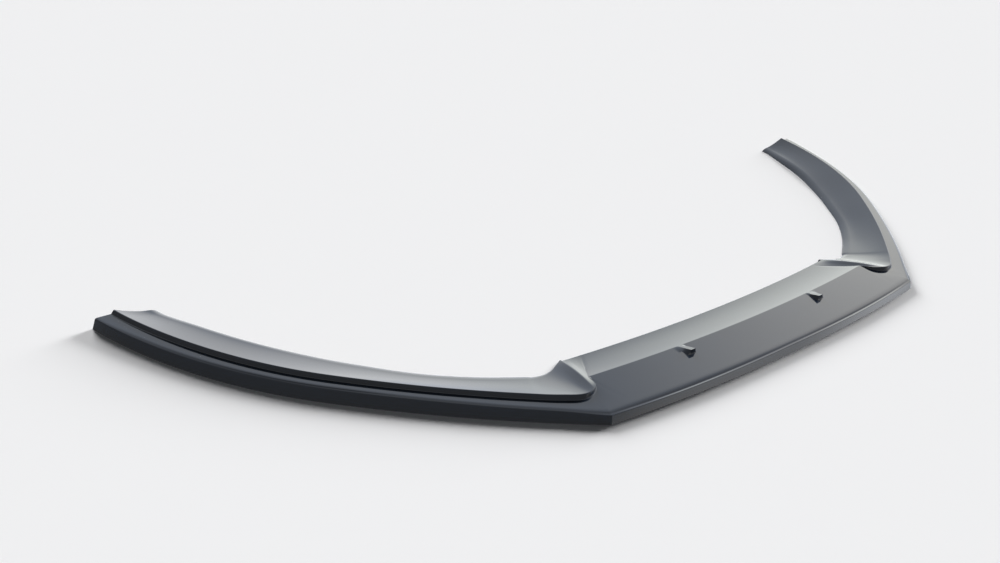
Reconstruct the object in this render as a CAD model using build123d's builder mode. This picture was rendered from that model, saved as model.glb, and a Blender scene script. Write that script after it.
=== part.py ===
from build123d import *
from math import acos, asin, cos, degrees, radians, sin
import os

# Front splitter lip: one vacuum formed sheet of ABS that lies on its rim.
# Millimetres. +Y points to the rear of the car, +X to its left side, +Z up. The left side is drawn and
# the right side is its mirror image. The origin is on the floor, in the middle of the whole outline.
# An inset is a distance in from the rim's outline, measured square to it.

# Sheet
wall = 4.0

# Outline of the rim
corner_half_width = 440.0
nose_bow = 21.5
wing_start_angle = 34.5
wing_first_radius = 2000.0
wing_first_length = 412.0
wing_second_radius = 650.0
front_to_tip = 638.0

# Edge of the blade
shoulder_inset = 3.5
shoulder_height = 13.0
blade_edge_inset = 11.5
blade_edge_height = 17.0

# Rear flange, behind the crease where the blade meets it
crease_inset = 96.0
crease_height = 20.0
crease_slope = 0.30
flange_inset = 170.0
flange_edge_height = 5.0

# Band, step and dish of the wing
step_inset = 32.5
step_foot_height = 17.4
step_lean = 3.0
platform_height = 25.0
dish_sag = 1.5
dish_inset = 110.0
dish_edge_height = 4.0

# Raised nose of the platform at each corner: it ends in a step slanting to the crease's end
crease_half_length = 394.0
nose_front_inset = 55.0
nose_height = 25.5
nose_width = 24.0

# Shoulder between the nose and the wing's even section
shoulder_reach = 105.0
shoulder_middle = 36.0
shoulder_front_inset = 37.0
shoulder_middle_foot_height = 17.4
shoulder_middle_height = 25.5
shoulder_middle_sag = 1.5
shoulder_middle_end_inset = 150.0
shoulder_end_inset = 118.0

# Wedges on the crease
wedge_half_spacing = 187.5
wedge_width = 13.0
wedge_length = 27.0
wedge_slope = 0.28
wedge_sink = 0.3

# How far a form runs on inside its neighbour, or past a cut
overlap = 12.0

# Places that follow from the sizes above
front_radius = (corner_half_width**2 + nose_bow**2) / (2 * nose_bow)
front_turn = degrees(asin(corner_half_width / front_radius))
front_reach = front_turn + degrees(overlap / front_radius)
corner_y = nose_bow - front_to_tip / 2
tip_y = front_to_tip / 2
corner = Vector(corner_half_width, corner_y)
front_centre = Vector(0, corner_y - nose_bow + front_radius)
mitre_angle = (front_turn + wing_start_angle) / 2
mitre_lean = (wing_start_angle - front_turn) / 2
mitre_stretch = 1 / cos(radians(mitre_lean))


def along(angle):
    """Unit vector at an angle from the X axis."""
    return Vector(cos(radians(angle)), sin(radians(angle)))


wing_first_centre = corner + along(wing_start_angle + 90) * wing_first_radius
wing_joint_angle = wing_start_angle + degrees(wing_first_length / wing_first_radius)
wing_joint = wing_first_centre - along(wing_joint_angle + 90) * wing_first_radius
wing_second_centre = wing_joint + along(wing_joint_angle + 90) * wing_second_radius
wing_tip_angle = degrees(acos((wing_second_centre.Y - tip_y) / wing_second_radius))
wing_end_angle = wing_tip_angle + degrees((overlap + wall) / wing_second_radius)
shoulder_middle_angle = wing_start_angle + degrees(shoulder_middle / wing_first_radius)
shoulder_end_angle = wing_start_angle + degrees(shoulder_reach / wing_first_radius)
mitre_plane = Plane(origin=corner, x_dir=along(mitre_angle + 90), z_dir=along(mitre_angle))


def wing_point(angle):
    """Point of the wing's first arc where it runs at an angle."""
    return wing_first_centre - along(angle + 90) * wing_first_radius


def front_point(angle, inset):
    """Point of the front's arc where it runs at an angle, moved inwards by an inset."""
    return front_centre - along(angle + 90) * (front_radius - inset)


def upright(point, angle):
    """Upright plane at a point of the outline: x runs inwards, y up, and the outline goes through it."""
    return Plane(origin=point, x_dir=along(angle + 90), z_dir=along(angle))


def blade_height(inset):
    """Top of the blade: a straight rise from its edge to the crease."""
    rise = (crease_height - blade_edge_height) / (crease_inset - blade_edge_inset)
    return blade_edge_height + rise * (inset - blade_edge_inset)


def flange_height(inset):
    """Top of the rear flange: it leaves the crease at its slope and flattens to its rear edge."""
    run = flange_inset - crease_inset
    bend = (flange_edge_height - crease_height + crease_slope * run) / run**2
    past = inset - crease_inset
    return crease_height - crease_slope * past + bend * past**2


def nose_top(inset):
    """Top of the nose: it leaves the crease forwards at its slope and flattens to its front."""
    run = crease_inset - nose_front_inset
    bend = (crease_height + crease_slope * run - nose_height) / run**2
    ahead = crease_inset - inset
    return crease_height + crease_slope * ahead - bend * ahead**2


def edge_points(skin):
    """Leaning edge of the blade from the floor up: side, bevel, start of the blade's top."""
    return [
        (skin, -skin),
        (shoulder_inset + skin, shoulder_height - skin / 2),
        (blade_edge_inset + skin / 2, blade_edge_height - skin),
    ]


def front(skin):
    """Edge, blade, crease and rear flange, swept round the front's arc and cut at the mitres."""
    end_inset = flange_inset - skin
    middle_inset = (crease_inset + end_inset) / 2
    left_corner = Vector(-corner.X, corner.Y)
    with BuildPart() as form:
        with BuildSketch(upright(front_point(-front_reach, 0), -front_reach)):
            with BuildLine():
                Polyline(
                    (end_inset, flange_height(end_inset) - skin),
                    (end_inset, -skin),
                    *edge_points(skin),
                    (crease_inset, crease_height - skin),
                )
                Spline(
                    (crease_inset, crease_height - skin),
                    (middle_inset, flange_height(middle_inset) - skin),
                    (end_inset, flange_height(end_inset) - skin),
                )
            make_face()
        revolve(axis=Axis(front_centre, (0, 0, 1)), revolution_arc=2 * front_reach)
        split(bisect_by=Plane(origin=corner, z_dir=along(mitre_angle)), keep=Keep.BOTTOM)
        split(bisect_by=Plane(origin=left_corner, z_dir=along(180 - mitre_angle)), keep=Keep.BOTTOM)
    return form.part


def band_section(plane, stretch, reach, reach_height, skin):
    """Edge and band of the wing on one upright plane, as far in as it reaches under the step."""
    edge = [(inset * stretch, height) for inset, height in edge_points(skin)]
    with BuildSketch(plane) as section:
        with BuildLine():
            Polyline(
                *edge,
                ((reach - skin) * stretch, reach_height - skin),
                ((reach - skin) * stretch, -skin),
                edge[0],
            )
        make_face()
    return section.sketch


def band(skin):
    """Edge and band of the wing: from the blade's section at the mitre to an even one, then on to the tip."""
    mitre_reach = nose_front_inset + step_lean + overlap / 2
    even_reach = step_inset + overlap
    fall = (blade_edge_height - step_foot_height) / (step_inset - blade_edge_inset)
    even_height = blade_edge_height - fall * (even_reach - blade_edge_inset)
    mitre_height = blade_height(mitre_reach)
    even = (1.0, even_reach, even_height, skin)
    sections = [
        band_section(mitre_plane, mitre_stretch, mitre_reach, mitre_height, skin),
        band_section(
            upright(wing_point(shoulder_middle_angle), shoulder_middle_angle),
            1.0, (mitre_reach + even_reach) / 2, (mitre_height + even_height) / 2, skin,
        ),
        band_section(upright(wing_point(shoulder_end_angle), shoulder_end_angle), *even),
    ]
    with BuildPart() as form:
        loft(sections)
        revolve(
            sections[-1],
            axis=Axis(wing_first_centre, (0, 0, 1)),
            revolution_arc=wing_joint_angle - shoulder_end_angle,
        )
        revolve(
            band_section(upright(wing_joint, wing_joint_angle), *even),
            axis=Axis(wing_second_centre, (0, 0, 1)),
            revolution_arc=wing_end_angle - wing_joint_angle,
        )
    return form.part


def nose(skin):
    """Nose on the front's side of the mitre: the flange carried forwards, cut by a slanting step."""
    front_inset = nose_front_inset - overlap / 2
    rear_inset = crease_inset + overlap / 2
    middle_inset = (front_inset + crease_inset) / 2
    step_start = mitre_plane.from_local_coords((nose_front_inset * mitre_stretch, 0, 0))
    step_end = front_point(degrees(asin(crease_half_length / (front_radius - crease_inset))), crease_inset)
    slant = (step_end - step_start).normalized()
    inwards = Vector(slant.Y, -slant.X)
    with BuildPart() as form:
        with BuildSketch(mitre_plane):
            with BuildLine():
                Polyline(
                    (crease_inset * mitre_stretch, crease_height - skin),
                    (rear_inset * mitre_stretch, flange_height(rear_inset) - skin),
                    (rear_inset * mitre_stretch, -skin),
                    (front_inset * mitre_stretch, -skin),
                    (front_inset * mitre_stretch, nose_top(front_inset) - skin),
                )
                Spline(
                    (front_inset * mitre_stretch, nose_top(front_inset) - skin),
                    (middle_inset * mitre_stretch, nose_top(middle_inset) - skin),
                    (crease_inset * mitre_stretch, crease_height - skin),
                )
            make_face()
        extrude(amount=-nose_width)
        split(bisect_by=Plane(origin=step_start + inwards * skin, z_dir=inwards), keep=Keep.TOP)
    return form.part


def step_section(plane, stretch, foot, foot_height, top_height, sag, end, end_height, skin):
    """Step and dish on one upright plane: up the step, then down a hollow curve to the trimmed edge."""
    start = foot + step_lean + skin
    finish = end - skin
    middle = (start + finish) / 2
    with BuildSketch(plane) as section:
        with BuildLine():
            Polyline(
                (finish * stretch, end_height - skin / 2),
                (finish * stretch, -skin),
                ((foot + skin) * stretch, -skin),
                ((foot + skin) * stretch, foot_height - skin),
                (start * stretch, top_height - skin),
            )
            Spline(
                (start * stretch, top_height - skin),
                (middle * stretch, (top_height + end_height) / 2 - sag - skin),
                (finish * stretch, end_height - skin / 2),
            )
        make_face()
    return section.sketch


def shoulder(skin):
    """Start of the wing: from the mitre's section to the wing's even one."""
    crest_middle = (nose_front_inset + step_lean + flange_inset) / 2
    crest_sag = (nose_height + flange_edge_height) / 2 - flange_height(crest_middle)
    middle_plane = Plane(
        origin=wing_point(shoulder_middle_angle),
        x_dir=along(shoulder_middle_angle + 90 - mitre_lean / 2),
        z_dir=along(shoulder_middle_angle - mitre_lean / 2),
    )
    sections = [
        step_section(
            mitre_plane, mitre_stretch, nose_front_inset, blade_height(nose_front_inset),
            nose_height, crest_sag, flange_inset, flange_edge_height, skin,
        ),
        step_section(
            middle_plane, 1.0, shoulder_front_inset, shoulder_middle_foot_height,
            shoulder_middle_height, shoulder_middle_sag, shoulder_middle_end_inset,
            dish_edge_height, skin,
        ),
        step_section(
            upright(wing_point(shoulder_end_angle), shoulder_end_angle), 1.0, step_inset,
            step_foot_height, platform_height, dish_sag, shoulder_end_inset, dish_edge_height, skin,
        ),
    ]
    with BuildPart() as form:
        loft(sections)
    return form.part


def platform(skin):
    """Step and dish of the wing, swept round its two arcs."""
    even = (1.0, step_inset, step_foot_height, platform_height, dish_sag, dish_inset,
            dish_edge_height, skin)
    with BuildPart() as form:
        revolve(
            step_section(upright(wing_point(shoulder_end_angle), shoulder_end_angle), *even),
            axis=Axis(wing_first_centre, (0, 0, 1)),
            revolution_arc=wing_joint_angle - shoulder_end_angle,
        )
        revolve(
            step_section(upright(wing_joint, wing_joint_angle), *even),
            axis=Axis(wing_second_centre, (0, 0, 1)),
            revolution_arc=wing_end_angle - wing_joint_angle,
        )
    return form.part


def wedge(skin):
    """Small wedge on the crease: the flange's slope carried forwards over the blade, sides upright."""
    side = wedge_half_spacing - wedge_width / 2 + skin
    front_inset = crease_inset - wedge_length + skin
    rear_inset = crease_inset + overlap
    ridge_height = crease_height - wedge_sink - skin
    front_height = ridge_height + wedge_slope * (crease_inset - front_inset)
    rear_height = ridge_height - 2 * crease_slope * overlap
    turn = degrees(asin(side / (front_radius - crease_inset)))
    start = upright(front_point(turn, 0), turn)
    with BuildPart() as form:
        with BuildSketch(start):
            with BuildLine():
                Polyline(
                    (front_inset, -skin),
                    (front_inset, front_height),
                    (crease_inset, ridge_height),
                    (rear_inset, rear_height),
                    (rear_inset, -skin),
                    close=True,
                )
            make_face()
        extrude(amount=wedge_width - 2 * skin)
    return form.part


def lip_form(skin):
    """Everything under one face of the sheet: the outer face for no skin, the inner for the wall."""
    with BuildPart() as form:
        add(front(skin))
        for side in (band(skin), nose(skin), shoulder(skin), platform(skin), wedge(skin)):
            add(side)
            add(mirror(side, about=Plane.YZ, mode=Mode.PRIVATE))
    return form.part


with BuildPart() as splitter_lip:
    add(lip_form(0.0))
    add(lip_form(wall), mode=Mode.SUBTRACT)
    split(bisect_by=Plane.XZ.offset(-tip_y), keep=Keep.TOP)

splitter_lip.part.label = "splitter_lip"
os.makedirs("parts", exist_ok=True)
export_step(splitter_lip.part, "parts/splitter_lip.step")
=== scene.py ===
"""Front splitter lip: one sheet of gloss black ABS, vacuum formed, lying on its rim on a pale floor."""

import logging
import math
from dataclasses import dataclass, field
from enum import Enum

import bpy
import numpy as np
from mathutils import Matrix, Vector


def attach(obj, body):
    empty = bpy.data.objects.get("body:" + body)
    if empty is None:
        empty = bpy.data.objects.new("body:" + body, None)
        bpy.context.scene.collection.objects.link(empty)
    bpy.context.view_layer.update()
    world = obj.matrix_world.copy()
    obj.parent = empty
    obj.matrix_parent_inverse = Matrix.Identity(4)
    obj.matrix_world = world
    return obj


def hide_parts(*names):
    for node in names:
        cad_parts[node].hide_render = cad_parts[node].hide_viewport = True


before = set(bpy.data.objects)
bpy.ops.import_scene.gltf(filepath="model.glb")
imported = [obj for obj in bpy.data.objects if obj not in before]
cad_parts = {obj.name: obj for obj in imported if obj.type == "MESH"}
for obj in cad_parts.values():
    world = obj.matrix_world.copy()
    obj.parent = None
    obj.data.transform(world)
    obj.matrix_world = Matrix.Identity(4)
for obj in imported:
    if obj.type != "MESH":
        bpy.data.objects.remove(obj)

LOG = logging.getLogger("splitter_lip")
MM = 0.001
# Turns a point of the left half into its mirror image on the right.
MIRRORED = np.array([-1.0, 1.0, 1.0])
# Stands in for a length of nothing where one is divided by.
TINY = 1e-9
# The Mix node's colour sockets go by number, because it has others of the same names.
MIX_FIRST, MIX_SECOND, MIX_RESULT = 6, 7, 2


class Skin(Enum):
    """A face of the sheet, and how far in millimetres it lies under the outer one."""

    OUTER = 0.0
    UNDER = 4.0


def along(degrees: np.ndarray | float) -> np.ndarray:
    """Unit vectors in the floor's plane, cosine and sine of the angle from the X axis.

    Args:
        degrees: Angle or angles from the X axis.

    Returns:
        The vectors, with the last axis holding x and y.
    """
    angle = np.radians(degrees)
    return np.stack([np.cos(angle), np.sin(angle)], axis=-1)


def ease(value: np.ndarray) -> np.ndarray:
    """Smooth step from 0 to 1: three times the square less twice the cube, clipped outside."""
    share = np.clip(value, 0.0, 1.0)
    return share * share * (3.0 - 2.0 * share)


def smooth_through(knots: list[tuple[float, ...]], at: np.ndarray) -> np.ndarray:
    """A cubic curve through knots, with each knot's slope taken from its two neighbours.

    Between two knots the value is the Hermite blend of both values and both slopes.

    Args:
        knots: Each knot's place along the curve, followed by its value or values.
        at: Places to read the curve at; outside the knots the end values hold.

    Returns:
        The values, one row per place if the knots hold more than one value each.
    """
    table = np.array(knots, float)
    place, value = table[:, 0], table[:, 1:]
    slope = np.gradient(value, place, axis=0)
    spot = np.clip(at, place[0], place[-1])
    low = np.clip(np.searchsorted(place, spot, side="right") - 1, 0, len(place) - 2)
    gap = (place[low + 1] - place[low])[:, None]
    share = ((spot - place[low]) / gap[:, 0])[:, None]
    square, cube = share**2, share**3
    result = (
        (2 * cube - 3 * square + 1) * value[low]
        + (cube - 2 * square + share) * gap * slope[low]
        + (3 * square - 2 * cube) * value[low + 1]
        + (cube - square) * gap * slope[low + 1]
    )
    return result[:, 0] if result.shape[1] == 1 else result


def towards(bearing: float, height: float = 0.0) -> Vector:
    """Unit vector towards a bearing and a height over the floor, all in degrees.

    It is the bearing's sine and cosine, each times the height's cosine, and the height's sine.

    Args:
        bearing: Angle from the Y axis towards X, seen from above.
        height: Angle over the floor.

    Returns:
        The vector.
    """
    turn, rise = math.radians(bearing), math.radians(height)
    return Vector((math.sin(turn) * math.cos(rise), math.cos(turn) * math.cos(rise), math.sin(rise)))


def level_way(start: np.ndarray, end: np.ndarray) -> np.ndarray:
    """Unit vectors from points towards others as seen from above: the difference over its length.

    Args:
        start: One point of x, y and height per row.
        end: The points to go towards.

    Returns:
        The vectors, with no height.
    """
    way = end - start
    way[:, 2] = 0.0
    return way / np.linalg.norm(way, axis=1, keepdims=True)


@dataclass(frozen=True)
class Outline:
    """The rim's outline on the floor, in millimetres: a front arc, then two arcs to each tip."""

    corner_half_width: float = 440.0
    nose_bow: float = 21.5
    wing_start_angle: float = 34.5
    wing_first_radius: float = 2000.0
    wing_first_length: float = 412.0
    wing_second_radius: float = 650.0
    front_to_tip: float = 638.0
    fan_reach: float = 115.0
    tip_reach: float = 150.0

    @property
    def front_radius(self) -> float:
        """Radius of the front arc, from its chord and its bow."""
        return (self.corner_half_width**2 + self.nose_bow**2) / (2 * self.nose_bow)

    @property
    def front_turn(self) -> float:
        """Heading of the front arc where it meets the corner, in degrees."""
        return math.degrees(math.asin(self.corner_half_width / self.front_radius))

    @property
    def corner(self) -> np.ndarray:
        """Left corner of the outline."""
        return np.array([self.corner_half_width, self.nose_bow - self.front_to_tip / 2])

    @property
    def front_centre(self) -> np.ndarray:
        """Centre of the front arc."""
        return np.array([0.0, self.corner[1] - self.nose_bow + self.front_radius])

    @property
    def mitre_lean(self) -> float:
        """Angle in degrees between the corner's mitre and the square to either arc."""
        return (self.wing_start_angle - self.front_turn) / 2

    @property
    def joint_angle(self) -> float:
        """Heading where the wing's two arcs meet, in degrees."""
        return self.wing_start_angle + math.degrees(self.wing_first_length / self.wing_first_radius)

    @property
    def first_centre(self) -> np.ndarray:
        """Centre of the wing's first arc."""
        return self.corner + along(self.wing_start_angle + 90) * self.wing_first_radius

    @property
    def second_centre(self) -> np.ndarray:
        """Centre of the wing's second arc, on the line from the first centre through their joint."""
        step = self.wing_first_radius - self.wing_second_radius
        return self.first_centre - along(self.joint_angle + 90) * step

    @property
    def tip_angle(self) -> float:
        """Heading of the second arc where the tip cuts it, in degrees."""
        rise = self.second_centre[1] - self.front_to_tip / 2
        return math.degrees(math.acos(rise / self.wing_second_radius))

    @property
    def wing_length(self) -> float:
        """Length of the wing's outline from the corner to the tip."""
        turn = math.radians(self.tip_angle - self.joint_angle)
        return self.wing_first_length + turn * self.wing_second_radius

    @property
    def front_length(self) -> float:
        """Length of the front arc from its middle to the corner."""
        return self.front_radius * math.radians(self.front_turn)

    def front_place(self, x: float, inset: float) -> float:
        """Length along the front arc at which a point at an inset stands at x from the middle."""
        return self.front_radius * math.asin(x / (self.front_radius - inset))

    def front_points(self, place: np.ndarray, inset: np.ndarray | float) -> np.ndarray:
        """Points at an inset from the front arc, each its radius less the inset from its centre.

        Args:
            place: Length along the arc from the middle.
            inset: Distance in from the outline.

        Returns:
            One row of x and y per point.
        """
        heading = np.degrees(place / self.front_radius)
        reach = np.broadcast_to(self.front_radius - inset, place.shape)[:, None]
        return self.front_centre - along(heading + 90) * reach

    def stations(self, place: np.ndarray) -> tuple[np.ndarray, np.ndarray, np.ndarray]:
        """Foot, direction and stretch of the lines that cross the sheet from its outline.

        A line leans from the square to the outline by the mitre's lean at the corner and by what
        is left to the tip's straight cut at the tip, and eases to square in between.

        Args:
            place: Length along the outline from the corner, below zero on the front.

        Returns:
            Foot points, unit directions inwards, and the length along the line per inset.
        """
        front = place < 0
        first = place < self.wing_first_length
        front_heading = self.front_turn + np.degrees(place / self.front_radius)
        first_heading = self.wing_start_angle + np.degrees(place / self.wing_first_radius)
        second_heading = self.joint_angle + np.degrees(
            (place - self.wing_first_length) / self.wing_second_radius
        )
        heading = np.where(front, front_heading, np.where(first, first_heading, second_heading))
        radius = np.where(
            front, self.front_radius, np.where(first, self.wing_first_radius, self.wing_second_radius)
        )
        centre = np.where(
            front[:, None],
            self.front_centre,
            np.where(first[:, None], self.first_centre, self.second_centre),
        )
        at_corner = 1.0 - ease(np.abs(place) / self.fan_reach)
        at_tip = ease((place - self.wing_length + self.tip_reach) / self.tip_reach)
        lean = np.where(front, 1.0, -1.0) * self.mitre_lean * at_corner
        lean = lean + (90.0 - self.tip_angle) * at_tip
        foot = centre - along(heading + 90) * radius[:, None]
        return foot, along(heading + 90 + lean), 1.0 / np.cos(np.radians(lean))


@dataclass(frozen=True)
class CreaseWedge:
    """One of the two small wedges on the crease, in millimetres: a slope carried on forwards."""

    half_spacing: float = 187.5
    width: float = 14.0
    length: float = 28.0
    slope: float = 0.262
    softness: float = 0.4

    def lift(
        self, x: np.ndarray, inset: np.ndarray, rise: float, crease: float, skin: float
    ) -> np.ndarray:
        """How far the wedge stands over the blade, at points of the blade.

        It is the wedge's slope plus the blade's own, times the distance ahead of the crease, and it
        fades to nothing over its softness at both sides and at its front.

        Args:
            x: Distance from the middle of the lip.
            inset: Distance in from the outline.
            rise: Rise of the blade per millimetre of inset.
            crease: Inset of the crease.
            skin: Distance of the face under the outer one.

        Returns:
            The lift in millimetres.
        """
        half = self.width / 2 - skin
        beside = half - np.abs(np.abs(x) - self.half_spacing)
        behind = inset - (crease - self.length + skin)
        ahead = np.clip(crease - inset, 0.0, self.length)
        return (self.slope + rise) * ahead * ease(beside / self.softness) * ease(behind / self.softness)


@dataclass(frozen=True)
class Reach:
    """A length in millimetres on the front and on the wing, eased over a stretch past the corner."""

    front: float
    wing: float
    stretch: float = 80.0

    def at(self, place: np.ndarray) -> np.ndarray:
        """The length at each crossing line, as a column."""
        return (self.front + (self.wing - self.front) * ease(place / self.stretch))[:, None]


@dataclass(frozen=True)
class Bend:
    """A rounded fold of the sheet: its reach to each side of the fold, and how many faces round it."""

    reach: Reach
    faces: int


@dataclass(frozen=True)
class Spacing:
    """Crossing lines of the left half: how many each stretch has, and the gaps that part them.

    They stand close together where the sheet bends: at the wedge's sides, round the nose, and at
    the corner, which falls between two of them.
    """

    middle_lines: int = 22
    outer_front_lines: int = 24
    nose_front_lines: int = 34
    nose_wing_lines: int = 46
    wing_lines: int = 84
    beside_wedge: float = 6.0
    wedge_core: float = 3.5
    ahead_of_nose: float = 3.0
    corner_gap: float = 0.6
    corner_margin: float = 1.8
    nose_end: float = 112.0
    wing_start: float = 118.0


@dataclass
class SplitterLip:
    """The lip itself: edge, blade, crease and flange at the front, band, step and dish on each wing.

    Every crossing line of the outline carries the same profile, whose fold lines are curves along
    the lip: rim, edge, blade's edge, foot and top of the step, and the trimmed inner edge. On the
    front the step has no height and its line is the crease.
    """

    outline: Outline = field(default_factory=Outline)
    wedge: CreaseWedge = field(default_factory=CreaseWedge)
    spacing: Spacing = field(default_factory=Spacing)
    crease_inset: float = 96.0
    crease_foot_gap: float = 1.0
    crease_height: float = 20.0
    crease_half_length: float = 394.0
    crease_slope: float = 0.30
    flange_inset: float = 170.0
    flange_edge_height: float = 5.0
    blade_edge_height: float = 17.0
    blade_start_inset: float = 14.0
    ledge_under_share: float = 0.6
    # Places along the outline: where the crease turns into the nose, and the nose into the wing.
    nose_start: float = -62.0
    wing_blend: tuple[float, float] = (80.0, 110.0)
    # The most of a run that the bend at one of its ends may take.
    bend_limit: float = 0.45
    sharp_angle: float = 32.0
    # Reach of the rolled inner edge along the dish, and beyond the fold where it meets the floor.
    roll_on_dish: Reach = Reach(2.0, 13.0, 140.0)
    roll_beyond: Reach = Reach(1.0, 3.5, 140.0)
    # Each row of a line starts with the place along the outline from the corner. Then these three
    # give the inset and the height.
    edge_line: list[tuple[float, ...]] = field(
        default_factory=lambda: [
            (-500.0, 2.8, 14.6),
            (-20.0, 2.8, 14.6),
            (12.0, 3.8, 14.4),
            (60.0, 7.0, 15.0),
            (140.0, 8.2, 15.6),
            (660.0, 8.0, 15.4),
            (720.0, 6.6, 15.5),
            (790.0, 3.8, 16.0),
        ]
    )
    ledge_line: list[tuple[float, ...]] = field(
        default_factory=lambda: [
            (-500.0, 6.8, 15.0),
            (-20.0, 6.8, 15.0),
            (12.0, 7.6, 15.4),
            (60.0, 10.0, 16.2),
            (140.0, 11.0, 16.8),
            (660.0, 10.7, 16.6),
            (720.0, 9.2, 16.6),
            (790.0, 5.6, 16.9),
        ]
    )
    blade_edge_line: list[tuple[float, ...]] = field(
        default_factory=lambda: [
            (-500.0, 10.5, 17.0),
            (-20.0, 10.5, 17.0),
            (12.0, 11.0, 17.0),
            (60.0, 13.2, 17.4),
            (140.0, 13.8, 18.0),
            (660.0, 13.4, 17.8),
            (720.0, 12.0, 17.6),
            (790.0, 8.5, 17.2),
        ]
    )
    # x, y and height of the step's foot, height of its top, and how far the top lies behind.
    nose_line: list[tuple[float, ...]] = field(
        default_factory=lambda: [
            (-50.0, 396.8, -214.5, 19.6, 21.9, 1.0),
            (-36.0, 400.6, -224.5, 19.2, 23.6, 1.2),
            (-20.0, 407.5, -234.0, 18.7, 25.0, 1.4),
            (0.0, 418.5, -241.3, 18.2, 25.6, 1.8),
            (22.0, 434.0, -245.8, 17.9, 25.6, 2.2),
            (45.0, 450.3, -242.8, 17.6, 25.5, 2.6),
            (75.0, 474.6, -228.9, 17.5, 25.3, 3.0),
            (110.0, 504.6, -209.0, 17.6, 25.0, 3.4),
        ]
    )
    # Inset and height of the step's foot, height of its top, and how far the top lies behind.
    step_line: list[tuple[float, ...]] = field(
        default_factory=lambda: [
            (110.0, 34.4, 17.6, 25.0, 3.4),
            (250.0, 33.0, 17.9, 25.0, 3.0),
            (450.0, 32.6, 17.9, 25.0, 3.0),
            (650.0, 32.0, 17.7, 25.0, 3.0),
            (790.0, 29.6, 17.3, 23.6, 4.4),
        ]
    )
    # x, y and height of the inner edge round the nose.
    flange_end_line: list[tuple[float, ...]] = field(
        default_factory=lambda: [
            (0.0, 373.5, -128.5, 4.4),
            (25.0, 391.0, -136.0, 4.2),
            (50.0, 411.0, -143.5, 4.1),
            (75.0, 431.0, -145.0, 4.0),
            (110.0, 460.0, -135.2, 4.0),
        ]
    )
    # Inset and height of the wing's inner edge.
    dish_line: list[tuple[float, ...]] = field(
        default_factory=lambda: [
            (110.0, 121.5, 4.0),
            (190.0, 111.2, 4.0),
            (285.0, 106.0, 4.2),
            (380.0, 111.3, 4.4),
            (490.0, 116.6, 5.6),
            (610.0, 114.0, 8.6),
            (700.0, 111.0, 7.8),
            (790.0, 103.6, 5.2),
        ]
    )
    # How far the dish's control point stands over the middle of its chord.
    hollow_line: list[tuple[float, ...]] = field(
        default_factory=lambda: [
            (-62.0, -4.0),
            (-40.0, -2.5),
            (-20.0, 1.0),
            (-8.0, 4.5),
            (0.0, 6.5),
            (10.0, 4.5),
            (25.0, 1.0),
            (50.0, -1.0),
            (80.0, -2.2),
            (120.0, -3.0),
            (680.0, -3.0),
            (790.0, -5.0),
        ]
    )

    def places(self) -> np.ndarray:
        """Places of the crossing lines along the left half, closer at the wedge, nose and corner."""
        front = -self.outline.front_length
        wedge = front + self.wedge.half_spacing
        half = self.wedge.width / 2
        soft = np.linspace(0.0, self.wedge.softness, 3)
        gap = self.spacing
        nose = self.nose_start
        margin = half + gap.beside_wedge
        parts = [
            np.linspace(front, wedge - margin, gap.middle_lines),
            wedge - half + soft,
            wedge + np.linspace(-gap.wedge_core, gap.wedge_core, 3),
            wedge + half - soft[::-1],
            np.linspace(wedge + margin, nose - gap.ahead_of_nose, gap.outer_front_lines),
            np.linspace(nose, -gap.corner_margin, gap.nose_front_lines),
            [-gap.corner_gap, gap.corner_gap],
            np.linspace(gap.corner_margin, gap.nose_end, gap.nose_wing_lines),
            np.linspace(gap.wing_start, self.outline.wing_length, gap.wing_lines),
        ]
        return np.unique(np.concatenate(parts))

    def plan(self, place: np.ndarray) -> dict[str, np.ndarray]:
        """Fold lines of the outer face at each crossing line.

        Ahead of the nose the step's foot follows the crease, along the front arc moved in by the
        crease's inset. Round the nose it is a smooth curve through a few points, and on the wing
        it keeps its inset from the outline. The step's top lies square behind its foot.

        Args:
            place: Places along the outline, below zero on the front.

        Returns:
            Points of x, y and height for the rim, edge, ledge, blade's edge, step's foot and top,
            and inner edge, the control point of the curve from the top to the inner edge, and
            where the rolled inner edge meets the floor.
        """
        foot, inwards, stretch = self.outline.stations(place)

        def at(inset: np.ndarray | float, height: np.ndarray | float) -> np.ndarray:
            """Points on the crossing lines at an inset and a height."""
            spot = foot + inwards * (stretch * inset)[:, None]
            return np.column_stack([spot, np.broadcast_to(height, place.shape)])

        def level_arc(spots: np.ndarray, inset: float, height: float) -> np.ndarray:
            """Points along the front arc at an inset and a height."""
            points = self.outline.front_points(spots, inset)
            return np.column_stack([points, np.full(place.shape, height)])

        edge = smooth_through(self.edge_line, place)
        ledge = smooth_through(self.ledge_line, place)
        blade_edge = smooth_through(self.blade_edge_line, place)
        step = smooth_through(self.step_line, place)
        flange_end = smooth_through(self.flange_end_line, place)

        front_length = self.outline.front_length
        from_middle = np.clip(place + front_length, 0.0, front_length)
        crease_end = self.outline.front_place(self.crease_half_length, self.crease_inset)
        nose_share = np.clip(from_middle / (front_length + self.nose_start), 0.0, 1.0)
        crease_shift = crease_end - front_length - self.nose_start
        crease_place = from_middle + crease_shift * nose_share**3
        foot_inset = self.crease_inset - self.crease_foot_gap
        nose_root = self.outline.front_points(np.array([crease_end]), foot_inset)[0]
        root_heights = (self.crease_height, self.crease_height)
        root_knot = (self.nose_start, *nose_root, *root_heights, self.crease_foot_gap)
        nose = smooth_through([root_knot, *self.nose_line], place)
        crease_foot = level_arc(crease_place, foot_inset, self.crease_height)
        crease_top = level_arc(crease_place, self.crease_inset, self.crease_height)
        rear_end = self.outline.front_place(self.flange_end_line[0][1], self.flange_inset)
        rear_shift = rear_end - front_length
        rear_place = from_middle + rear_shift * (from_middle / front_length) ** 3
        rear = level_arc(rear_place, self.flange_inset, self.flange_edge_height)

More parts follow.
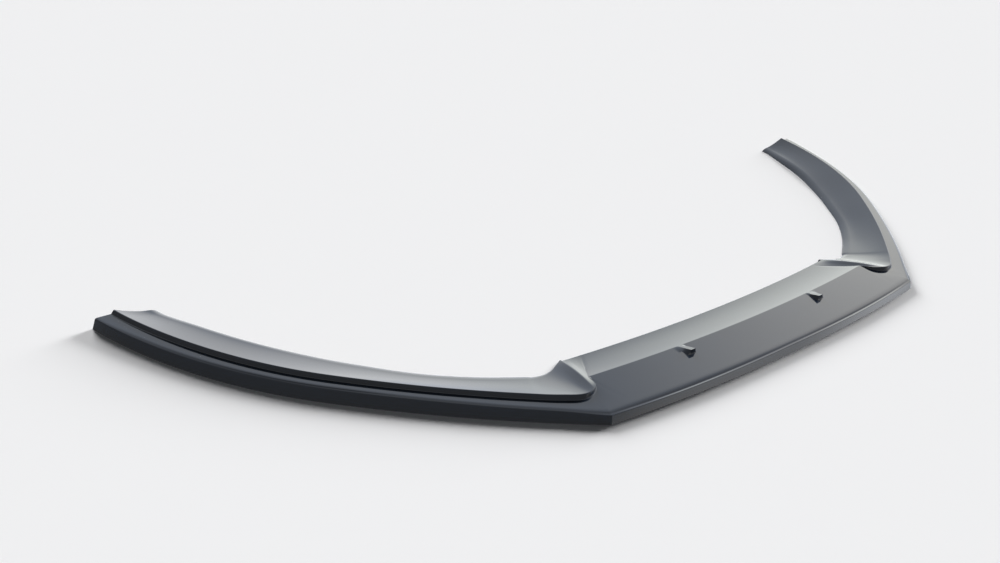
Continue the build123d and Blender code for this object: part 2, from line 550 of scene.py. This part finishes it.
        nose_foot = nose[:, :3]
        heading = np.gradient(nose_foot[:, :2], place, axis=0)
        heading = heading / np.maximum(np.linalg.norm(heading, axis=1, keepdims=True), TINY)
        behind = np.column_stack([-heading[:, 1], heading[:, 0]])
        nose_top = np.column_stack([nose_foot[:, :2] + behind * nose[:, 4:5], nose[:, 3]])
        wing_foot = at(step[:, 0], step[:, 1])
        wing_top = at(step[:, 0] + step[:, 3], step[:, 2])
        dish = smooth_through(self.dish_line, place)
        wing_end = at(dish[:, 0], dish[:, 1])

        on_front = (place < self.nose_start)[:, None]
        blend_start, blend_end = self.wing_blend
        to_wing = ease((place - blend_start) / (blend_end - blend_start))[:, None]
        step_foot = np.where(on_front, crease_foot, nose_foot + (wing_foot - nose_foot) * to_wing)
        step_top = np.where(on_front, crease_top, nose_top + (wing_top - nose_top) * to_wing)
        corner_end = flange_end + (wing_end - flange_end) * to_wing
        inner_edge = np.where((place < 0)[:, None], rear, corner_end)
        chord_middle = (self.crease_height + self.flange_edge_height) / 2
        half_fall = self.crease_slope * (self.flange_inset - self.crease_inset) / 2
        flange_hollow = self.crease_height - half_fall - chord_middle
        wing_hollow = smooth_through(self.hollow_line, place)
        hollow = np.where(place < self.nose_start, flange_hollow, wing_hollow)
        control = (step_top + inner_edge) / 2
        control[:, 2] += hollow
        floor_edge = inner_edge + level_way(step_top, inner_edge) * self.roll_beyond.at(place)
        floor_edge[:, 2] = 0.0
        return {
            "rim": at(0.0, 0.0),
            "edge": at(edge[:, 0], edge[:, 1]),
            "ledge": at(ledge[:, 0], ledge[:, 1]),
            "blade_edge": at(blade_edge[:, 0], blade_edge[:, 1]),
            "step_foot": step_foot,
            "step_top": step_top,
            "control": control,
            "inner_edge": inner_edge,
            "floor_edge": floor_edge,
        }

    def under_plan(self, folds: dict[str, np.ndarray], thickness: float) -> dict[str, np.ndarray]:
        """Fold lines of the under face: the outer ones moved inwards and down by the thickness.

        Args:
            folds: Fold lines of the outer face.
            thickness: Thickness of the sheet.

        Returns:
            The same fold lines for the under face.
        """
        inwards = level_way(folds["rim"], folds["blade_edge"])
        behind = level_way(folds["step_top"], folds["inner_edge"])
        down = np.array([0.0, 0.0, thickness])
        return {
            "rim": folds["rim"] + inwards * thickness,
            "edge": folds["edge"] + inwards * thickness - down / 2,
            "ledge": folds["ledge"] + inwards * thickness * self.ledge_under_share - down,
            "blade_edge": folds["blade_edge"] + inwards * thickness / 2 - down,
            "step_foot": folds["step_foot"] + behind * thickness - down,
            "step_top": folds["step_top"] + behind * thickness - down,
            "control": folds["control"] - down,
            "inner_edge": folds["inner_edge"] - behind * thickness - down / 2,
            "floor_edge": folds["floor_edge"] - behind * thickness,
        }

    def face(
        self,
        place: np.ndarray,
        folds: dict[str, np.ndarray],
        bends: dict[str, Bend],
        runs: dict[str, np.ndarray],
    ) -> np.ndarray:
        """One face of the sheet from the rim to the floor behind its inner edge, as a grid.

        Each crossing line is straight runs between the fold lines, with a quadratic curve round
        each fold and one quadratic curve from the step's top to the rolled inner edge.

        Args:
            place: Places of the crossing lines.
            folds: Fold lines of the face.
            bends: Reach and faces of the bend at each rounded fold.
            runs: Shares along each run at which it has points.

        Returns:
            Points in millimetres, indexed by crossing line, by point on the line, and by axis.
        """

        def toward(start: np.ndarray, end: np.ndarray, reach: np.ndarray) -> np.ndarray:
            """Points at a reach from points towards others, within the limit for a bend.

            Args:
                start: Points to start from.
                end: Points to go towards.
                reach: How far to go, as a column.

            Returns:
                The points reached.
            """
            span = end - start
            length = np.maximum(np.linalg.norm(span, axis=1, keepdims=True), TINY)
            return start + span * np.minimum(reach / length, self.bend_limit)

        def curve(
            start: np.ndarray, middle: np.ndarray, end: np.ndarray, share: np.ndarray
        ) -> np.ndarray:
            """Quadratic curves: each point weighted by the squares and product of the shares.

            Args:
                start: First point of each curve.
                middle: Control point of each curve.
                end: Last point of each curve.
                share: Shares along the curves, from 0 to 1.

            Returns:
                Points of the curves, indexed by curve, by share and by axis.
            """
            s = share[None, :, None]
            rest = 1 - s
            return start[:, None] * rest**2 + middle[:, None] * 2 * s * rest + end[:, None] * s**2

        def run(start: np.ndarray, end: np.ndarray, share: np.ndarray) -> np.ndarray:
            """Straight run between two points."""
            return start[:, None] + (end - start)[:, None] * share[None, :, None]

        names = ["rim", "edge", "ledge", "blade_edge", "step_foot", "step_top"]
        ahead = names[1:] + ["control"]
        columns, last = [], folds["rim"]
        for name, before, after in zip(names[1:], names[:-1], ahead[1:]):
            bend = bends[name]
            start = toward(folds[name], folds[before], bend.reach.at(place))
            end = toward(folds[name], folds[after], bend.reach.at(place))
            columns.append(run(last, start, runs[name]))
            columns.append(curve(start, folds[name], end, np.linspace(0.0, 1.0, bend.faces + 1)))
            last = end
        dish_end = toward(folds["inner_edge"], folds["control"], self.roll_on_dish.at(place))
        columns.append(curve(last, folds["control"], dish_end, runs["dish"]))
        columns.append(curve(dish_end, folds["inner_edge"], folds["floor_edge"], runs["roll"]))
        return np.concatenate(columns, axis=1)

    def half_grid(self) -> np.ndarray:
        """Closed section at each crossing line of the left half, in millimetres.

        The runs hold the shares of each run at which the section has points, closer near folds.

        Returns:
            Points indexed by crossing line, by point round the section, and by axis.
        """
        place = self.places()
        outer = self.plan(place)
        under = self.under_plan(outer, Skin.UNDER.value)
        from_crease = self.wedge.length / (self.crease_inset - self.blade_start_inset)
        wedge_front = 1.0 - from_crease + np.linspace(-0.006, 0.03, 7)
        blade = np.concatenate(
            [[0.012], np.linspace(0.06, 0.6, 9), wedge_front, np.linspace(0.74, 0.94, 6), [0.985]]
        )
        outer_runs = {
            "edge": np.array([0.0, 0.03, 0.3, 0.65, 0.95]),
            "ledge": np.array([0.5]),
            "blade_edge": np.array([0.5]),
            "step_foot": blade,
            "step_top": np.array([0.08, 0.5, 0.92]),
            "dish": np.concatenate([[0.006, 0.02, 0.045], np.linspace(0.08, 0.96, 24), [0.99, 1.0]]),
            "roll": np.linspace(0.1, 1.0, 10),
        }
        outer_bends = {
            "edge": Bend(Reach(0.7, 2.6), 6),
            "ledge": Bend(Reach(0.6, 1.4), 4),
            "blade_edge": Bend(Reach(8.0, 3.0), 8),
            "step_foot": Bend(Reach(1.4, 1.0), 5),
            "step_top": Bend(Reach(1.6, 1.6), 7),
        }
        under_runs = {
            "edge": np.array([0.0, 0.5, 0.9]),
            "ledge": np.array([0.5]),
            "blade_edge": np.array([0.5]),
            "step_foot": np.concatenate([[0.1, 0.3, 0.5], wedge_front[::3], [0.8, 0.95]]),
            "step_top": np.array([0.5]),
            "dish": np.linspace(0.08, 1.0, 12),
            "roll": np.linspace(0.25, 1.0, 4),
        }
        under_bends = {name: Bend(Reach(1.2, 1.2), 3) for name in outer_bends}
        top = self.face(place, outer, outer_bends, outer_runs)
        low = self.face(place, under, under_bends, under_runs)
        for grid, skin in ((top, Skin.OUTER), (low, Skin.UNDER)):
            self.raise_wedges(grid, place, skin)
        return np.concatenate([top, low[:, ::-1]], axis=1)

    def raise_wedges(self, grid: np.ndarray, place: np.ndarray, skin: Skin) -> None:
        """Adds the crease wedges to one face, in place.

        Args:
            grid: Points of the face, changed here.
            place: Places of its crossing lines.
            skin: Which face it is.
        """
        on_front = place < self.nose_start
        part = grid[on_front]
        offset = part[..., :2] - self.outline.front_centre
        inset = self.outline.front_radius - np.linalg.norm(offset, axis=-1)
        blade_edge_inset = self.blade_edge_line[0][1]
        rise = (self.crease_height - self.blade_edge_height) / (self.crease_inset - blade_edge_inset)
        x = part[..., 0]
        part[..., 2] += self.wedge.lift(x, inset, rise, self.crease_inset, skin.value)
        grid[on_front] = part

    def build(self) -> bpy.types.Object:
        """Builds the sheet as one closed mesh.

        The left half and its mirror image make one row of closed sections from tip to tip. Faces
        join each section to the next, and one face closes each tip.

        Returns:
            The lip, in metres, at its place in the part's frame.
        """
        left = self.half_grid()
        right = (left * MIRRORED)[:0:-1]
        grid = np.concatenate([right, left]) * MM
        rows, columns = grid.shape[:2]
        number = np.arange(rows * columns).reshape(rows, columns)
        after = np.roll(number, -1, axis=1)
        quads = np.stack([number[:-1], number[1:], after[1:], after[:-1]], axis=-1).reshape(-1, 4)
        caps = [number[0].tolist(), number[-1, ::-1].tolist()]
        mesh = bpy.data.meshes.new("splitter_sheet")
        mesh.from_pydata(grid.reshape(-1, 3).tolist(), [], quads.tolist() + caps)
        mesh.validate()
        smooth = np.ones(len(mesh.polygons), bool)
        smooth[-len(caps) :] = False
        mesh.polygons.foreach_set("use_smooth", smooth)
        mesh.set_sharp_from_angle(angle=math.radians(self.sharp_angle))
        mesh.update()
        lip = bpy.data.objects.new("splitter_sheet", mesh)
        bpy.context.scene.collection.objects.link(lip)
        return lip


def linear(colour: str) -> tuple[float, float, float, float]:
    """Linear red, green, blue and alpha of an sRGB hex colour, by the sRGB curve.

    Args:
        colour: The colour, as a hash sign and six hex digits.

    Returns:
        The four parts, from 0 to 1.
    """
    parts = [int(colour.lstrip("#")[i : i + 2], 16) / 255 for i in (0, 2, 4)]
    red, green, blue = (p / 12.92 if p <= 0.04045 else ((p + 0.055) / 1.055) ** 2.4 for p in parts)
    return red, green, blue, 1.0


def add_node(
    tree: bpy.types.NodeTree,
    kind: str,
    settings: dict[str, object] | None = None,
    inputs: dict[str | int, object] | None = None,
    links: dict[str | int, bpy.types.NodeSocket] | None = None,
) -> bpy.types.Node:
    """Adds a shader node with its settings, socket values and links.

    Args:
        tree: Node tree to add to.
        kind: Blender's name of the node's type.
        settings: Attributes of the node.
        inputs: Values of its input sockets, by name or number.
        links: Output sockets that feed its inputs, by name or number.

    Returns:
        The node.
    """
    node = tree.nodes.new(kind)
    for name, value in (settings or {}).items():
        setattr(node, name, value)
    for name, value in (inputs or {}).items():
        node.inputs[name].default_value = value
    for name, socket in (links or {}).items():
        tree.links.new(socket, node.inputs[name])
    return node


@dataclass(frozen=True)
class VacuumFormedAbs:
    """Gloss black vacuum formed ABS: mirror-like, with the faint waves of a sheet drawn on a mould."""

    name: str = "vacuum_formed_abs"
    black: str = "#141f2d"
    dusty: str = "#1a2737"
    ior: float = 1.54
    gloss_roughness: float = 0.05
    handled_roughness: float = 0.11
    haze_scale_mm: float = 90.0
    haze_from: float = 0.35
    haze_to: float = 0.75
    wave_scale_mm: float = 60.0
    wave_height_mm: float = 0.05
    grain_scale_mm: float = 2.5
    grain_height_mm: float = 0.004

    def material(self) -> bpy.types.Material:
        """Makes the material.

        The eye reads gloss black as the room's reflection, strong at a low angle and weak from
        above; the waves bend it slightly, the grain is the sheet's faint orange peel, and the
        haze of handling blurs it in soft patches.

        Returns:
            The finished material.
        """
        material = bpy.data.materials.new(self.name)
        material.use_nodes = True
        tree = material.node_tree
        tree.nodes.clear()
        place = add_node(tree, "ShaderNodeTexCoord").outputs["Object"]
        haze = add_node(
            tree,
            "ShaderNodeTexNoise",
            inputs={"Scale": 1 / (self.haze_scale_mm * MM), "Detail": 4.0, "Roughness": 0.6},
            links={"Vector": place},
        )
        tint = add_node(
            tree,
            "ShaderNodeMix",
            settings={"data_type": "RGBA"},
            links={"Factor": haze.outputs["Fac"]},
        )
        tint.inputs[MIX_FIRST].default_value = linear(self.black)
        tint.inputs[MIX_SECOND].default_value = linear(self.dusty)
        blur = add_node(
            tree,
            "ShaderNodeMapRange",
            inputs={
                "From Min": self.haze_from,
                "From Max": self.haze_to,
                "To Min": self.gloss_roughness,
                "To Max": self.handled_roughness,
            },
            links={"Value": haze.outputs["Fac"]},
        )
        wave = add_node(
            tree,
            "ShaderNodeTexNoise",
            inputs={"Scale": 1 / (self.wave_scale_mm * MM), "Detail": 1.0},
            links={"Vector": place},
        )
        grain = add_node(
            tree,
            "ShaderNodeTexNoise",
            inputs={"Scale": 1 / (self.grain_scale_mm * MM), "Detail": 2.0},
            links={"Vector": place},
        )
        waved = add_node(
            tree,
            "ShaderNodeBump",
            inputs={"Strength": 1.0, "Distance": self.wave_height_mm * MM},
            links={"Height": wave.outputs["Fac"]},
        )
        grained = add_node(
            tree,
            "ShaderNodeBump",
            inputs={"Strength": 1.0, "Distance": self.grain_height_mm * MM},
            links={"Height": grain.outputs["Fac"], "Normal": waved.outputs["Normal"]},
        )
        shader = add_node(
            tree,
            "ShaderNodeBsdfPrincipled",
            inputs={"IOR": self.ior},
            links={
                "Base Color": tint.outputs[MIX_RESULT],
                "Roughness": blur.outputs["Result"],
                "Normal": grained.outputs["Normal"],
            },
        )
        add_node(tree, "ShaderNodeOutputMaterial", links={"Surface": shader.outputs["BSDF"]})
        return material


@dataclass(frozen=True)
class SoftLight:
    """A wide soft light: where it shines from and its spread, in degrees, and its strength."""

    name: str
    bearing: float
    height: float
    spread: float
    strength: float

    def place(self) -> None:
        """Puts the light in the scene; the lip mirrors the room and not the light itself."""
        light = bpy.data.lights.new(self.name, "SUN")
        light.angle = math.radians(self.spread)
        light.energy = self.strength
        lamp = bpy.data.objects.new(self.name, light)
        shines = -towards(self.bearing, self.height)
        lamp.rotation_euler = shines.to_track_quat("-Z", "Y").to_euler()
        lamp.visible_glossy = False
        bpy.context.scene.collection.objects.link(lamp)


@dataclass(frozen=True)
class Glow:
    """A glow in the room: its colour and brightness, and the directions in which it shows.

    A glow is a product of smooth steps. Each bearing comes with the two cosines of the angle to
    it, seen from above, and each pair of heights is two sines of the angle over the floor. A step
    is 0 at the first of the two and 1 at the second. With neither, the glow is all round.
    """

    colour: str
    brightness: float
    bearings: tuple[tuple[float, float, float], ...] = ()
    heights: tuple[tuple[float, float], ...] = ()


@dataclass(frozen=True)
class Room:
    """The pale room that the lip mirrors: a dim light all round, and glows on top of it."""

    all_round: Glow = Glow("#ffffff", 0.35)
    ahead: Glow = Glow("#ebf3ff", 0.68, bearings=((50.0, -0.1, 0.75),))
    horizon: Glow = Glow(
        "#ffffed",
        1.2,
        bearings=((50.0, -0.1, 0.75), (75.0, 0.807, 0.95), (45.0, 0.88, 0.95)),
        heights=((0.48, 0.2), (-0.2, 0.08)),
    )
    low_wall: Glow = Glow(
        "#fff6e6", 0.58, bearings=((38.0, 0.985, 0.9995),), heights=((-0.25, -0.1), (0.34, 0.12))
    )
    high_window: Glow = Glow(
        "#fff7e7", 1.08, bearings=((78.0, 0.89, 1.0),), heights=((0.2, 0.38), (0.68, 0.46))
    )
    low_window: Glow = Glow(
        "#ffffff", 0.6, bearings=((105.0, 0.55, 0.85),), heights=((0.25, 0.05),)
    )
    diffuse_share: float = 0.1

    def light(self) -> None:
        """Sets the room up as the world.

        Ahead of the camera it is pale and cool, brighter at the horizon and warmer low down, with
        a high window to the right and a low one beyond it; behind the camera it is dim. Its light
        on the floor is a share of what is mirrored, because the two soft lights stand for the rest.
        """
        world = bpy.data.worlds.new("pale_room")
        bpy.context.scene.world = world
        world.use_nodes = True
        tree = world.node_tree
        tree.nodes.clear()
        direction = add_node(tree, "ShaderNodeTexCoord").outputs["Generated"]
        flat = add_node(
            tree,
            "ShaderNodeVectorMath",
            settings={"operation": "MULTIPLY"},
            inputs={1: (1.0, 1.0, 0.0)},
            links={0: direction},
        )
        level = add_node(
            tree,
            "ShaderNodeVectorMath",
            settings={"operation": "NORMALIZE"},
            links={0: flat.outputs["Vector"]},
        ).outputs["Vector"]
        height = add_node(tree, "ShaderNodeSeparateXYZ", links={0: direction}).outputs["Z"]

        def fade(socket: bpy.types.NodeSocket, start: float, end: float) -> bpy.types.NodeSocket:
            """Smooth step of a value from 0 at the start to 1 at the end.

            Args:
                socket: Output that holds the value.
                start: Where the step is 0.
                end: Where the step is 1.

            Returns:
                Output that holds the step.
            """
            return add_node(
                tree,
                "ShaderNodeMapRange",
                settings={"interpolation_type": "SMOOTHSTEP"},
                inputs={"From Min": start, "From Max": end},
                links={"Value": socket},
            ).outputs["Result"]

        def toward(bearing: float, start: float, end: float) -> bpy.types.NodeSocket:
            """Smooth step of the cosine of the angle, seen from above, to a bearing.

            Args:
                bearing: Degrees from the Y axis towards X.
                start: Cosine at which the step is 0.
                end: Cosine at which the step is 1.

            Returns:
                Output that holds the step.
            """
            cosine = add_node(
                tree,
                "ShaderNodeVectorMath",
                settings={"operation": "DOT_PRODUCT"},
                inputs={1: towards(bearing)},
                links={0: level},
            )
            return fade(cosine.outputs["Value"], start, end)

        def shown(glow: Glow) -> bpy.types.NodeSocket:
            """The glow's colour times its brightness and its smooth steps.

            Args:
                glow: The glow.

            Returns:
                Output that holds its light in each direction.
            """
            steps = [toward(*bearing) for bearing in glow.bearings]
            steps += [fade(height, *pair) for pair in glow.heights]
            lit = add_node(
                tree,
                "ShaderNodeVectorMath",
                settings={"operation": "SCALE"},
                inputs={0: linear(glow.colour)[:3], "Scale": glow.brightness},
            ).outputs["Vector"]
            for step in steps:
                lit = add_node(
                    tree,
                    "ShaderNodeVectorMath",
                    settings={"operation": "SCALE"},
                    links={0: lit, "Scale": step},
                ).outputs["Vector"]
            return lit

        total = shown(self.all_round)
        for glow in (self.ahead, self.horizon, self.low_wall, self.high_window, self.low_window):
            total = add_node(
                tree, "ShaderNodeVectorMath", links={0: total, 1: shown(glow)}
            ).outputs["Vector"]
        rays = add_node(tree, "ShaderNodeLightPath")
        share = add_node(
            tree,
            "ShaderNodeMapRange",
            inputs={"To Min": 1.0, "To Max": self.diffuse_share},
            links={"Value": rays.outputs["Is Diffuse Ray"]},
        )
        background = add_node(
            tree, "ShaderNodeBackground", links={"Color": total, "Strength": share.outputs["Result"]}
        )
        add_node(tree, "ShaderNodeOutputWorld", links={"Surface": background.outputs["Background"]})


@dataclass
class Studio:
    """Plain pale floor, pale room, two soft lights, and the camera at the photograph's viewing angle."""

    floor_colour: str = "#f4f4f5"
    floor_roughness: float = 0.9
    floor_half_size: float = 30.0
    image_width: float = 1000.0
    focal_pixels: float = 1228.07
    sensor_width: float = 36.0
    clip_end: float = 100.0
    camera_at: tuple[float, float, float] = (-1.6896, -1.1879, 0.9462)
    yaw: float = 47.427
    pitch: float = 25.984
    roll: float = 8.229
    room: Room = field(default_factory=Room)
    key: SoftLight = SoftLight("key_light", 22.0, 22.0, 26.0, 3.98)
    side: SoftLight = SoftLight("side_light", 82.0, 14.2, 20.0, 5.26)

    def lay_floor(self) -> None:
        """Lays the floor as one large square under the rim; the lip mirrors the room past it."""
        half = self.floor_half_size
        mesh = bpy.data.meshes.new("floor")
        mesh.from_pydata(
            [(-half, -half, 0.0), (half, -half, 0.0), (half, half, 0.0), (-half, half, 0.0)],
            [],
            [(0, 1, 2, 3)],
        )
        floor = bpy.data.objects.new("floor", mesh)
        bpy.context.scene.collection.objects.link(floor)
        # Matte paper: the eye sees an even pale floor, with soft shadows and no gloss.
        material = bpy.data.materials.new("matte_sweep")
        material.use_nodes = True
        shader = material.node_tree.nodes["Principled BSDF"]
        shader.inputs["Base Color"].default_value = linear(self.floor_colour)
        shader.inputs["Roughness"].default_value = self.floor_roughness
        shader.inputs["Specular IOR Level"].default_value = 0.0
        floor.data.materials.append(material)
        floor.visible_glossy = False

    def light_up(self) -> None:
        """Lights the room and the floor, and shows them with plain sRGB contrast."""
        self.room.light()
        self.key.place()
        self.side.place()
        bpy.context.scene.view_settings.view_transform = "Standard"

    def set_camera(self) -> None:
        """Sets the camera: it looks along its yaw and pitch, and is rolled about that line."""
        roll = math.radians(self.roll)
        ahead = towards(self.yaw, -self.pitch)
        right = towards(self.yaw + 90.0)
        up = right.cross(ahead)
        rolled_right = right * math.cos(roll) + up * math.sin(roll)
        rolled_up = up * math.cos(roll) - right * math.sin(roll)
        turn = Matrix((rolled_right, rolled_up, -ahead)).transposed().to_4x4()
        lens = bpy.data.cameras.new("camera")
        lens.sensor_width = self.sensor_width
        lens.lens = self.focal_pixels / self.image_width * self.sensor_width
        lens.clip_end = self.clip_end
        camera = bpy.data.objects.new("camera", lens)
        camera.matrix_world = Matrix.Translation(self.camera_at) @ turn
        bpy.context.scene.collection.objects.link(camera)
        bpy.context.scene.camera = camera


def main() -> None:
    """Builds the lip and its studio."""
    logging.basicConfig(level=logging.INFO, format="%(message)s")
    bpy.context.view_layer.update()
    lip = SplitterLip().build()
    lip.data.materials.append(VacuumFormedAbs().material())
    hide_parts("splitter_lip")
    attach(lip, "root")
    LOG.info("%s: %d faces", lip.name, len(lip.data.polygons))
    studio = Studio()
    studio.lay_floor()
    studio.light_up()
    studio.set_camera()


if __name__ == "__main__":
    main()
